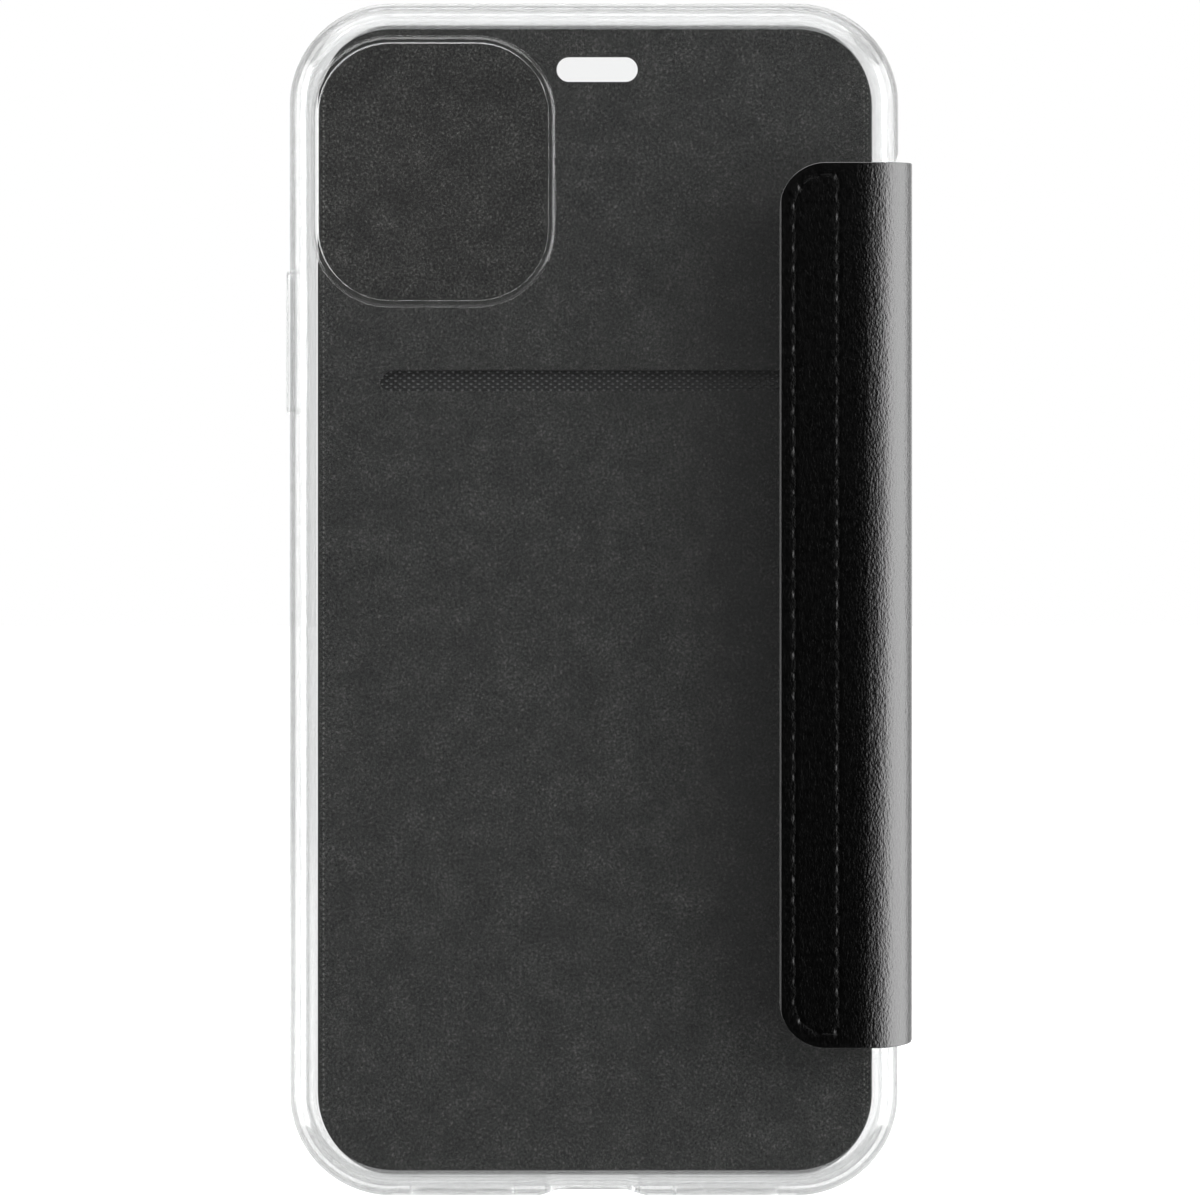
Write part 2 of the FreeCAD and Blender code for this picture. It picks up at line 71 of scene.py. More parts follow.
def span(node):
    """A CAD node's lowest and highest corner in build coordinates."""
    low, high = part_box(node)
    return (low - ORIGIN) / MM, (high - ORIGIN) / MM


# ---------------------------------------------------------------- node helpers

class Nodes:
    """Short calls for building one material's node tree."""

    def __init__(self, name):
        self.material = bpy.data.materials.new(name)
        self.material.use_nodes = True
        self.tree = self.material.node_tree
        self.tree.nodes.clear()
        self.output = self.add("ShaderNodeOutputMaterial")

    def add(self, kind, _settings=None, **inputs):
        node = self.tree.nodes.new(kind)
        for key, value in (_settings or {}).items():
            setattr(node, key, value)
        for key, value in inputs.items():
            self.feed(node.inputs[key.replace("_", " ")], value)
        return node

    def feed(self, socket, value):
        if isinstance(value, bpy.types.NodeSocket):
            self.tree.links.new(value, socket)
        else:
            socket.default_value = value

    def math(self, operation, a, b=0.0):
        node = self.add("ShaderNodeMath", {"operation": operation})
        self.feed(node.inputs[0], a)
        self.feed(node.inputs[1], b)
        return node.outputs[0]

    def ramp(self, value, *stops):
        node = self.add("ShaderNodeValToRGB", Fac=value)
        while len(node.color_ramp.elements) < len(stops):
            node.color_ramp.elements.new(0.5)
        for element, (position, shade) in zip(node.color_ramp.elements, stops):
            element.position = position
            element.color = (*shade, 1) if hasattr(shade, "__len__") else (shade, shade, shade, 1)
        return node.outputs["Color"]

    def noise(self, vector, scale, detail=2.0, rough=0.5, distort=0.0):
        node = self.add("ShaderNodeTexNoise", Vector=vector, Scale=scale, Detail=detail,
                        Roughness=rough, Distortion=distort)
        return node.outputs["Fac"]

    def bump(self, height, strength, distance):
        node = self.add("ShaderNodeBump", Height=height, Strength=strength, Distance=distance)
        return node.outputs["Normal"]

    def mix(self, share, first, second):
        """A blend of two shaders: share is how much of the second one there is."""
        node = self.add("ShaderNodeMixShader", Fac=share)
        self.tree.links.new(first.outputs[0], node.inputs[1])
        self.tree.links.new(second.outputs[0], node.inputs[2])
        return node

    def principled(self, **inputs):
        return self.add("ShaderNodeBsdfPrincipled", **inputs)

    def finish(self, shader):
        self.tree.links.new(shader, self.output.inputs["Surface"])
        return self.material


def millimetres(n):
    """Object coordinates in millimetres."""
    place = n.add("ShaderNodeTexCoord").outputs["Object"]
    scaled = n.add("ShaderNodeVectorMath", {"operation": "SCALE"}, Vector=place)
    scaled.inputs["Scale"].default_value = 1 / MM
    return scaled.outputs["Vector"]


def plan_millimetres(n):
    """The piece's own flat plan in millimetres, from its UV map, so that its grain bends with it."""
    plan = n.add("ShaderNodeUVMap", {"uv_map": "plan"}).outputs["UV"]
    scaled = n.add("ShaderNodeVectorMath", {"operation": "SCALE"}, Vector=plan)
    scaled.inputs["Scale"].default_value = 1 / UV_PER_MM
    return scaled.outputs["Vector"]


# ---------------------------------------------------------------- materials

CLEAR_TINT = (0.955, 0.96, 0.96, 1)
STRAIGHT_SHARE = 0.45    # of the light that meets a curved clear face and isn't bent
HAZE_SHARE = 0.0009


def clear_material():
    """Clear soft plastic with a slight wave and haze.

    Light that goes on to a matt surface passes straight, and so does a share at the curved faces. The
    flat back always bends light, or what lies behind it would show doubled.
    """
    n = Nodes("clear_tpu")
    waves = n.noise(millimetres(n), 0.12, 1.0, 0.4)
    bending = n.principled(Base_Color=CLEAR_TINT, Roughness=0.01, IOR=1.5, Transmission_Weight=1.0,
                           Normal=n.bump(waves, 0.06, 0.0004))
    passing = n.add("ShaderNodeBsdfTransparent", Color=CLEAR_TINT)
    path = n.add("ShaderNodeLightPath")
    matt = n.math("MAXIMUM", path.outputs["Is Shadow Ray"], path.outputs["Is Diffuse Ray"])
    normals = n.add("ShaderNodeSeparateXYZ", Vector=n.add("ShaderNodeTexCoord").outputs["Normal"])
    flat = n.math("GREATER_THAN", n.math("ABSOLUTE", normals.outputs["Y"]), 0.999)
    curved = n.math("SUBTRACT", STRAIGHT_SHARE, n.math("MULTIPLY", flat, STRAIGHT_SHARE))
    clear = n.mix(n.math("MAXIMUM", matt, curved), bending, passing)
    scattering = n.add("ShaderNodeBsdfDiffuse", Color=(0.95, 0.96, 0.96, 1))
    return n.finish(n.mix(HAZE_SHARE, clear, scattering).outputs[0])


# Places along the strip in mm: the grain is pressed flat up to the first and is full from the second.
GRAIN_PRESSED, GRAIN_OPEN, GRAIN_REACH = 9.5, 13.0, 40.0


def leather_material():
    """Black fine-grained leather: soft pebbles a little longer up the case, pressed flatter on the tab."""
    n = Nodes("black_leather")
    mm = plan_millimetres(n)
    stretched = n.add("ShaderNodeMapping", Vector=mm, Scale=(1.0, 0.55, 1.0)).outputs["Vector"]
    wander = n.noise(stretched, 0.9, 2.0, 0.5)
    pebbles = n.add("ShaderNodeTexVoronoi", {"feature": "SMOOTH_F1"}, Vector=stretched, Scale=3.7,
                    Smoothness=0.5, Randomness=1.0).outputs["Distance"]
    fine = n.noise(stretched, 6.5, 2.0, 0.6)
    height = n.math("ADD", n.math("MULTIPLY", pebbles, 0.8), n.math("MULTIPLY", fine, 0.6))
    height = n.math("ADD", height, n.math("MULTIPLY", wander, 0.8))
    along = n.math("DIVIDE", n.add("ShaderNodeSeparateXYZ", Vector=mm).outputs["X"], GRAIN_REACH)
    open_grain = n.ramp(along, (GRAIN_PRESSED / GRAIN_REACH, 0.35), (GRAIN_OPEN / GRAIN_REACH, 1.0))
    normal = n.bump(height, open_grain, 0.000055)
    shade = n.ramp(n.noise(mm, 0.25, 3.0), (0.3, 0.0003), (0.7, 0.0006))
    rough = n.ramp(n.noise(mm, 1.2, 2.0), (0.3, 0.14), (0.7, 0.18))
    rough = n.math("MAXIMUM", rough, n.ramp(along, (0.1 / GRAIN_REACH, 0.8), (0.3 / GRAIN_REACH, 0.0)))
    leather = n.principled(Base_Color=shade, Roughness=rough, IOR=1.5, Normal=normal)
    return n.finish(leather.outputs[0])


# Texture level, grey, and the grey's slightly lower blue.
LINING_SHADES = ((0.40, 0.0045, 0.0043), (0.50, 0.015, 0.0143), (0.58, 0.032, 0.0304), (0.68, 0.095, 0.09))
DOT_ACROSS, DOT_UP = 0.5, 0.65
KNOT_ACROSS, KNOT_UP = 1.15, 0.39


def half_wave(n, value):
    """One arch for each whole step of the value, 0 to 1."""
    return n.math("SINE", n.math("MULTIPLY", n.math("FRACT", value), math.pi))


def lining_material(name, frayed=None):
    """Charcoal microfibre: short fibres brushed slightly up the case over a soft mottle.

    frayed is the box of a sheet whose ground weave shows as small dots along its edges.
    """
    n = Nodes(name)
    mm = millimetres(n)
    brushed = n.add("ShaderNodeMapping", Vector=mm, Rotation=(0, 0.14, 0), Scale=(1.0, 1.0, 0.9))
    mottle = n.noise(mm, 0.22, 4.0, 0.6)
    fibres = n.noise(brushed.outputs["Vector"], 3.0, 3.0, 0.85, 0.5)
    both = n.math("ADD", n.math("MULTIPLY", mottle, 0.2), n.math("MULTIPLY", fibres, 0.8))
    if frayed is not None:
        both = n.math("ADD", both, n.math("MULTIPLY", edge_dots(n, mm, *frayed), 0.16))
    shade = n.ramp(both, *((at, (level, level, warm)) for at, level, warm in LINING_SHADES))
    normal = n.bump(fibres, 0.6, 0.0001)
    cloth = n.principled(Base_Color=shade, Roughness=0.95, Normal=normal, Sheen_Weight=0.04,
                         Sheen_Roughness=0.5, Specular_IOR_Level=0.15)
    return n.finish(cloth.outputs[0])


def edge_dots(n, mm, low, high):
    """Small staggered dots within about a millimetre of a sheet's edges, 0 to 1."""
    parts = n.add("ShaderNodeSeparateXYZ", Vector=mm)
    inset = []
    for axis, start, end in (("X", low.x, high.x), ("Z", low.z, high.z)):
        away = n.math("ABSOLUTE", n.math("SUBTRACT", parts.outputs[axis], (start + end) / 2))
        inset.append(n.math("SUBTRACT", (end - start) / 2, away))
    near_edge = n.ramp(n.math("MINIMUM", *inset), (0.25, 0.0), (0.4, 1.0), (0.9, 1.0), (0.99, 0.0))
    columns = n.math("DIVIDE", parts.outputs["X"], DOT_ACROSS)
    stagger = n.math("MULTIPLY", n.math("FLOOR", columns), 0.5)
    rows = n.math("ADD", n.math("DIVIDE", parts.outputs["Z"], DOT_UP), stagger)
    dots = n.math("MULTIPLY", half_wave(n, columns), half_wave(n, rows))
    return n.math("MULTIPLY", n.math("POWER", dots, 3.0), near_edge)


def plain_dark(name, shade, roughness):
    """A dark matt board with a faint grain."""
    n = Nodes(name)
    mm = millimetres(n)
    grain = n.noise(mm, 3.0, 3.0, 0.6)
    colour = n.ramp(grain, (0.3, shade * 0.8), (0.7, shade * 1.2))
    body = n.principled(Base_Color=colour, Roughness=roughness, Normal=n.bump(grain, 0.3, 0.0001))
    return n.finish(body.outputs[0])


def thread_material():
    """Black spun thread."""
    n = Nodes("black_thread")
    mm = millimetres(n)
    fibres = n.noise(mm, 9.0, 3.0, 0.6)
    shade = n.ramp(fibres, (0.3, 0.0004), (0.75, 0.0018))
    thread = n.principled(Base_Color=shade, Roughness=0.75, Specular_IOR_Level=0.06,
                          Normal=n.bump(fibres, 0.4, 0.00003))
    return n.finish(thread.outputs[0])


def weave_material():
    """A dotted weave: staggered raised knots on a darker ground."""
    n = Nodes("dotted_weave")
    parts = n.add("ShaderNodeSeparateXYZ", Vector=millimetres(n))
    across = n.math("DIVIDE", parts.outputs["X"], KNOT_ACROSS)
    up = n.math("DIVIDE", parts.outputs["Z"], KNOT_UP)
    shifted = n.math("ADD", across, n.math("MULTIPLY", n.math("FLOOR", up), 0.5))
    knot = n.math("MULTIPLY", n.math("POWER", half_wave(n, shifted), 4.0), half_wave(n, up))
    fuzz = n.math("MULTIPLY", n.noise(millimetres(n), 3.5, 2.0, 0.6), 0.5)
    shade = n.ramp(n.math("ADD", knot, fuzz), (0.55, 0.004), (0.85, 0.016), (1.15, 0.08))
    cloth = n.principled(Base_Color=shade, Roughness=0.8, Specular_IOR_Level=0.2,
                         Normal=n.bump(knot, 0.8, 0.00015))
    return n.finish(cloth.outputs[0])


materials = {
    "clear_tpu": clear_material(),
    "leather": leather_material(),
    "lining": lining_material("charcoal_lining"),
    "thread": thread_material(),
    "pocket_weave": weave_material(),
    "board": plain_dark("dark_board", 0.02, 0.9),
}
for part in frame["record"]["subparts"]:
    mesh = nodes[part["node"]].data
    mesh.materials.clear()
    mesh.materials.append(materials[part["material_slot"]])


# ---------------------------------------------------------------- mesh helpers

def link(thing):
    bpy.context.scene.collection.objects.link(thing)
    return thing


def make_piece(name, slot, points, faces, uvs=None):
    """A mesh piece from build coordinates, with its slot's material and its flat plan as a UV map."""
    mesh = bpy.data.meshes.new(name)
    place = np.asarray(points, float) * MM + np.array(ORIGIN)
    mesh.from_pydata(place.tolist(), [], faces)
    mesh.validate()
    if uvs is not None:
        layer = mesh.uv_layers.new(name="plan")
        corner_points = np.zeros(len(mesh.loops), np.int32)
        mesh.loops.foreach_get("vertex_index", corner_points)
        layer.data.foreach_set("uv", (np.asarray(uvs, float)[corner_points] * UV_PER_MM).ravel())
    mesh.polygons.foreach_set("use_smooth", [True] * len(mesh.polygons))
    mesh.materials.append(materials[slot])
    piece = link(bpy.data.objects.new(name, mesh))
    turn_faces_out(mesh)
    return piece


def turn_faces_out(mesh):
    bm = bmesh.new()
    bm.from_mesh(mesh)
    bmesh.ops.recalc_face_normals(bm, faces=bm.faces)
    bm.to_mesh(mesh)
    bm.free()


def steps(low, high, size):
    """Evenly spaced numbers from low to high, about size apart."""
    return np.linspace(low, high, max(2, round((high - low) / size) + 1))


def merged(*runs):
    """One rising list from several, without near repeats."""
    every = np.unique(np.concatenate([np.atleast_1d(r) for r in runs]))
    return every[np.concatenate([[True], np.diff(every) > 0.02])]


def skins(across, up, exists, place, depths):
    """A closed sheet over a grid: an outer and an inner skin with walls round every free edge.

    across and up are the grid's coordinates, as 2D arrays; exists says which points are there;
    place(across, up, depth) gives build coordinates; depths is (outer, inner) below the outer face.
    """
    index = np.full(across.shape, -1)
    index[exists] = np.arange(exists.sum())
    count = int(exists.sum())
    flat_across, flat_up = across[exists], up[exists]
    points = np.concatenate([place(flat_across, flat_up, depth[exists]) for depth in depths])
    uvs = np.tile(np.stack([flat_across, flat_up], 1), (2, 1))
    a, b, c, d = index[:-1, :-1], index[1:, :-1], index[1:, 1:], index[:-1, 1:]
    whole = (a >= 0) & (b >= 0) & (c >= 0) & (d >= 0)
    quads = np.stack([a[whole], b[whole], c[whole], d[whole]], 1)
    sides = np.concatenate([quads[:, [k, (k + 1) % 4]] for k in range(4)])
    ordered = np.sort(sides, 1)
    _, first, uses = np.unique(ordered, axis=0, return_index=True, return_counts=True)
    rim = sides[first[uses == 1]]
    walls = np.stack([rim[:, 1], rim[:, 0], rim[:, 0] + count, rim[:, 1] + count], 1)
    faces = np.concatenate([quads, quads[:, ::-1] + count, walls])
    return points, faces.tolist(), uvs


def rounding(edge, radius):
    """How far a rounded edge has dropped at that distance in from it."""
    inside = np.clip(edge, 0, radius)
    return radius - np.sqrt(np.maximum(radius ** 2 - (radius - inside) ** 2, 0))


# ---------------------------------------------------------------- the strip's path

tab_low, tab_high = span("tab_leather")
spine_low, spine_high = span("spine_leather")
flap_low, flap_high = span("flap_leather")
shell_low_mm = span("clear_shell")[0]
LEATHER = tab_high.y - tab_low.y
LINING = span("tab_lining")[1].y - tab_high.y
SPINE_START = spine_low.x
SPINE_RADIUS = spine_high.x - SPINE_START
SIDE = (flap_high.y - tab_low.y) - 2 * SPINE_RADIUS
FOLD = 0.3
TAB_CORNER = 6.0
FLAP_CORNER = 11.0
TAB_RUN = SPINE_START - tab_low.x
QUARTER = SPINE_RADIUS * math.pi / 2
SPINE_MIDDLE = TAB_RUN + QUARTER + SIDE / 2
FRONT_START = TAB_RUN + 2 * QUARTER + SIDE
FLAP_END = FRONT_START + SPINE_START - flap_low.x
FLAP_EDGE = FRONT_START + FOLD
STRIP_LOW, STRIP_HIGH = tab_low.z, tab_high.z
SPINE_RISE = 0.8
SLOT_HALF, SLOT_LOW, SLOT_HEIGHT, SLOT_CORNER = 27.8, 103.8, 2.7, 1.3
EARPIECE_SHIFT, EARPIECE_WIDTH = 0.3, 10.5
EARPIECE_LOW, EARPIECE_SLOT, EARPIECE_CORNER = 143.85, 3.3, 1.6


def strip_place(along, up, depth):
    """Build coordinates on the strip: along from the tab's free edge, depth below the outer face."""
    along, up, depth = (np.asarray(v, float) for v in (along, up, depth))
    x = tab_low.x + along
    y = tab_low.y + depth
    turn = np.clip((along - TAB_RUN) / SPINE_RADIUS, 0, math.pi / 2)
    bent = along > TAB_RUN
    radius = SPINE_RADIUS - depth
    x = np.where(bent, SPINE_START + radius * np.sin(turn), x)
    y = np.where(bent, tab_low.y + SPINE_RADIUS - radius * np.cos(turn), y)
    on_side = along > TAB_RUN + QUARTER
    y = np.where(on_side, tab_low.y + SPINE_RADIUS + np.minimum(along - TAB_RUN - QUARTER, SIDE), y)
    back = along > TAB_RUN + QUARTER + SIDE
    turn = np.clip((along - TAB_RUN - QUARTER - SIDE) / SPINE_RADIUS, 0, math.pi / 2)
    x = np.where(back, SPINE_START + radius * np.cos(turn), x)
    y = np.where(back, flap_high.y - SPINE_RADIUS + radius * np.sin(turn), y)
    front = along > FRONT_START
    x = np.where(front, SPINE_START - (along - FRONT_START), x)
    return np.stack([x, y, up], -1)


# ---------------------------------------------------------------- the seam

SEAM_LEFT, SEAM_RIGHT = 25.8 - tab_low.x, 31.4 - tab_low.x
SEAM_LOW, SEAM_HIGH = 20.95, 131.4
SEAM_CORNER, SEAM_TURN = 4.05, 0.8
SEAM_PITCH = 2.6
# How deep the leather is pulled in, and that dent's reach across and up.
SEAM_CHANNEL, NEEDLE_SLIT = (0.015, 0.3, 0.3), (0.065, 0.24, 0.38)
DENT_REACH = 1.6


def arc(centre, radius, start, turn, count=16):
    angles = np.radians(np.linspace(start, start + turn, count))
    return [(centre[0] + radius * math.cos(a), centre[1] + radius * math.sin(a)) for a in angles]


def resample(line, count):
    """count + 1 points spread evenly along a line of points."""
    line = np.asarray(line, float)
    run = np.concatenate([[0], np.cumsum(np.linalg.norm(np.diff(line, axis=0), axis=1))])
    at = np.linspace(0, run[-1], count + 1)
    return np.stack([np.interp(at, run, line[:, k]) for k in range(line.shape[1])], 1)


def seam_runs():
    """The seam as two lines of (along, up), from one fold-side corner to the other each way round."""
    half = SEAM_TURN * (1 - math.sqrt(0.5))
    high_corner = (SEAM_RIGHT - half, SEAM_HIGH - half)
    low_corner = (SEAM_RIGHT - half, SEAM_LOW + half)
    free = [high_corner, (SEAM_RIGHT - SEAM_TURN, SEAM_HIGH)]
    free += arc((SEAM_LEFT + SEAM_CORNER, SEAM_HIGH - SEAM_CORNER), SEAM_CORNER, 90, 90)
    free += arc((SEAM_LEFT + SEAM_CORNER, SEAM_LOW + SEAM_CORNER), SEAM_CORNER, 180, 90)
    free += [(SEAM_RIGHT - SEAM_TURN, SEAM_LOW), low_corner]
    fold = [low_corner, (SEAM_RIGHT, SEAM_LOW + SEAM_TURN), (SEAM_RIGHT, SEAM_HIGH - SEAM_TURN), high_corner]
    return [free, fold]


def run_length(line):
    return float(np.linalg.norm(np.diff(np.asarray(line, float), axis=0), axis=1).sum())


def stitch_counts():
    return [round(run_length(line) / SEAM_PITCH) for line in seam_runs()]


def needle_holes():
    return np.concatenate([resample(line, n)[:-1] for line, n in zip(seam_runs(), stitch_counts())])


def near(points, targets):
    """Each point's distance to the nearest target, and which one that is."""
    gaps = np.hypot(*(points[:, None, k] - targets[None, :, k] for k in (0, 1)))
    which = gaps.argmin(1)
    return gaps[np.arange(len(points)), which], which


def seam_dent(along, up):
    """How far the stitches pull the leather in: a channel along the seam and a slit at each hole."""
    points = np.stack([along.ravel(), up.ravel()], 1)
    loop = np.concatenate([resample(line, round(run_length(line) / 0.2)) for line in seam_runs()])
    loop = loop[np.argsort(loop[:, 1])]
    holes = needle_holes()
    holes = holes[np.argsort(holes[:, 1])]
    pull = np.random.default_rng(7).uniform(0.45, 1.0, len(holes))
    inner = (points[:, 0] > SEAM_LEFT + SEAM_CORNER + DENT_REACH) & (points[:, 0] < SEAM_RIGHT - DENT_REACH)
    inner &= (points[:, 1] > SEAM_LOW + DENT_REACH) & (points[:, 1] < SEAM_HIGH - DENT_REACH)
    index = np.flatnonzero((points[:, 0] < SEAM_RIGHT + DENT_REACH) & ~inner)
    blocks = [block for block in np.array_split(index[np.argsort(points[index, 1])], 400) if len(block)]
    dent = np.zeros(len(points))
    for targets, strength, (depth, width, height) in ((loop, np.ones(len(loop)), SEAM_CHANNEL),
                                                      (holes, pull, NEEDLE_SLIT)):
        for block in blocks:
            low, high = points[block, 1].min() - DENT_REACH, points[block, 1].max() + DENT_REACH
            some = slice(*np.searchsorted(targets[:, 1], (low, high)))
            if some.stop > some.start:
                gap, which = near(points[block] / (width, height), targets[some] / (width, height))
                dent[block] += depth * strength[some][which] * np.exp(-gap ** 2)
    return dent.reshape(along.shape)


def make_stitches(name, node, face, inward, body):
    """Lockstitches along the seam: two plies twisted together, diving into a hole at both ends.

    face is the depth in y of the surface they lie on and inward is the way in from it, 1 or -1.
    """
    ply, offset, twist = 0.095, 0.075, 0.8      # one ply's radius, its distance from the middle, its lay
    rings, sides = 15, 7
    points, faces = [], []
    for line, count in zip(seam_runs(), stitch_counts()):
        fine = resample(line, count * (rings - 1))
        for k in range(count):
            centre = fine[k * (rings - 1):(k + 1) * (rings - 1) + 1]
            share = np.linspace(0, 1, rings)
            sunk = 0.06 + 0.5 * (1 - np.sin(np.pi * share) ** 0.4)
            y = face + inward * sunk
            spine = np.stack([tab_low.x + centre[:, 0], y, centre[:, 1]], 1)
            ahead = np.gradient(spine, axis=0)
            ahead /= np.linalg.norm(ahead, axis=1)[:, None]
            out = np.tile([0.0, -inward, 0.0], (rings, 1))
            side = np.cross(ahead, out)
            side /= np.linalg.norm(side, axis=1)[:, None]
            out = np.cross(side, ahead)
            run = np.concatenate([[0], np.cumsum(np.linalg.norm(np.diff(spine, axis=0), axis=1))])
            for strand in (0, math.pi):
                phase = strand + 2 * math.pi * run / twist + k
                mid = spine + offset * (np.cos(phase)[:, None] * side + np.sin(phase)[:, None] * out)
                first = len(points)
                for around in range(rings):
                    for j in range(sides):
                        angle = 2 * math.pi * j / sides
                        points.append(mid[around] + ply * (math.cos(angle) * side[around]
                                                           + math.sin(angle) * out[around]))
                for around in range(rings - 1):
                    for j in range(sides):
                        a = first + around * sides + j
                        b = first + around * sides + (j + 1) % sides
                        faces.append((a, b, b + sides, a + sides))
                faces.append(tuple(first + j for j in reversed(range(sides))))
                faces.append(tuple(first + (rings - 1) * sides + j for j in range(sides)))
    piece = make_piece(name, "thread", points, faces)
    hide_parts(node)
    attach(piece, body)
    return piece


# ---------------------------------------------------------------- leather and lining of the strip

def strip_ends(along):
    """The strip's lowest and highest level at each place along it, without its edge rounding."""
    corner = np.clip(TAB_CORNER - along, 0, TAB_CORNER)
    cut = TAB_CORNER - np.sqrt(np.maximum(TAB_CORNER ** 2 - corner ** 2, 0))
    share = np.clip((along - TAB_RUN) / QUARTER, 0, 1)
    rest = np.clip((FRONT_START - along) / QUARTER, 0, 1)
    rise = SPINE_RISE * np.minimum(share, rest) ** 1.5
    return STRIP_LOW + cut + rise, STRIP_HIGH - cut


def tab_edge(along, up):
    """Distance in from the strip's free edges."""
    low, high = strip_ends(np.maximum(along, TAB_CORNER))
    height = np.minimum(up - low, high - up)
    corner = TAB_CORNER - np.hypot(TAB_CORNER - along, TAB_CORNER - height)
    in_corner = (along < TAB_CORNER) & (height < TAB_CORNER)
    return np.where(in_corner, corner, np.minimum(along, height))


EDGE_STEPS = np.array([0, 0.03, 0.08, 0.15, 0.24, 0.34])


def strip_levels(size):
    """Rows as shares of the strip's height, closer together at its ends and at the seam's ends."""
    seam = [steps(level - 0.9, level + 0.9, 0.12) for level in (SEAM_LOW, SEAM_HIGH)]
    levels = merged(STRIP_LOW + EDGE_STEPS, STRIP_HIGH - EDGE_STEPS, *seam,
                    steps(STRIP_LOW + 0.34, STRIP_HIGH - 0.34, size))
    return (levels - STRIP_LOW) / (STRIP_HIGH - STRIP_LOW)


def strip_grid(alongs, size):
    low, high = strip_ends(alongs)
    share = strip_levels(size)
    up = low[:, None] + (high - low)[:, None] * share[None, :]
    across = np.repeat(alongs[:, None], len(share), 1)
    return across, up


def make_back_leather():
    """The tab's leather and half of the spine's, one sheet shaped round the spine's fold."""
    seam = [steps(place - 0.9, place + 0.9, 0.12) for place in (SEAM_LEFT, SEAM_RIGHT)]
    alongs = merged(EDGE_STEPS, steps(0.34, TAB_RUN - FOLD, 0.3), *seam,
                    steps(TAB_RUN - FOLD, TAB_RUN, 0.025), steps(TAB_RUN, SPINE_MIDDLE, 0.15))
    across, up = strip_grid(alongs, 0.28)
    drop = rounding(tab_edge(across, up), 0.05)
    ease = np.clip(np.minimum(across - TAB_RUN + 1.4, SPINE_MIDDLE - across) / 2.4, 0, 1)
    outer = drop + seam_dent(across, up) + 0.14 * ease ** 2 * (3 - 2 * ease)
    points, faces, uvs = skins(across, up, np.ones(across.shape, bool), strip_place, (outer, LEATHER - drop))
    piece = make_piece("strip_leather_back", "leather", points, faces, uvs)
    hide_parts("tab_leather", "spine_leather")
    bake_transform(piece)
    return piece


def flap_grid(size):
    """The front leather's grid: the spine's rows, and more rows at both ends where the flap is taller."""
    left = FLAP_END - EDGE_STEPS
    right = FLAP_EDGE + EDGE_STEPS
    corners = [FLAP_EDGE + FLAP_CORNER * (1 - np.cos(np.radians(np.arange(0, 91, 4)))),
               FLAP_END - FLAP_CORNER * (1 - np.cos(np.radians(np.arange(0, 91, 4))))]
    alongs = merged(steps(SPINE_MIDDLE, FRONT_START, 0.2), steps(FRONT_START, FLAP_EDGE, 0.025), left, right,
                    *corners, steps(FLAP_EDGE + FLAP_CORNER, FLAP_END - FLAP_CORNER, size))
    ends = 28
    share = strip_levels(size)
    spine_low_ends, spine_high_ends = strip_ends(alongs)
    past = np.clip(FLAP_CORNER - np.minimum(alongs - FLAP_EDGE, FLAP_END - alongs), 0, FLAP_CORNER)
    cut = FLAP_CORNER - np.sqrt(np.maximum(FLAP_CORNER ** 2 - past ** 2, 0))
    flap_bottoms, flap_tops = flap_low.z + cut, flap_high.z - cut
    on_flap = alongs >= FLAP_EDGE - 1e-6
    end_share = np.concatenate([EDGE_STEPS / 10, np.linspace(0.034, 1, ends - len(EDGE_STEPS) + 1)])[:ends]
    columns = []
    for j in range(len(alongs)):
        middle = spine_low_ends[j] + (spine_high_ends[j] - spine_low_ends[j]) * share
        below = flap_bottoms[j] + (spine_low_ends[j] - flap_bottoms[j]) * end_share
        above = flap_tops[j] - (flap_tops[j] - spine_high_ends[j]) * end_share
        columns.append(np.concatenate([below[:-1], middle, above[:-1][::-1]]))
    up = np.array(columns)
    across = np.repeat(alongs[:, None], up.shape[1], 1)
    exists = np.ones(up.shape, bool)
    extra = ends - 1
    exists[~on_flap, :extra] = False
    exists[~on_flap, -extra:] = False
    return across, up, exists


def flap_edge_distance(across, up):
    """Distance in from the front leather's free edges, notches at the spine's ends included."""
    span_left = FLAP_END - across
    span_right = across - FLAP_EDGE
    height = np.minimum(up - flap_low.z, flap_high.z - up)
    joined = (up > STRIP_LOW) & (up < STRIP_HIGH)
    side = np.where(joined, span_left, np.minimum(span_left, span_right))
    in_corner = (side < FLAP_CORNER) & (height < FLAP_CORNER)
    rounded = FLAP_CORNER - np.hypot(FLAP_CORNER - side, FLAP_CORNER - height)
    flap = np.where(in_corner, rounded, np.minimum(side, height))
    low, high = strip_ends(across)
    spine = np.minimum(up - low, high - up)
    notch = np.minimum(np.hypot(span_right, up - STRIP_LOW), np.hypot(span_right, up - STRIP_HIGH))
    return np.where(across < FLAP_EDGE - 1e-6, spine, np.where(joined, np.minimum(flap, notch), flap))


def earpiece_hole():
    low, high = span("flap_lining")
    middle = (low.x + high.x) / 2 + EARPIECE_SHIFT
    half = EARPIECE_WIDTH / 2
    high_end = EARPIECE_LOW + EARPIECE_SLOT
    return rounded_loop(middle - half, middle + half, EARPIECE_LOW, high_end, EARPIECE_CORNER)


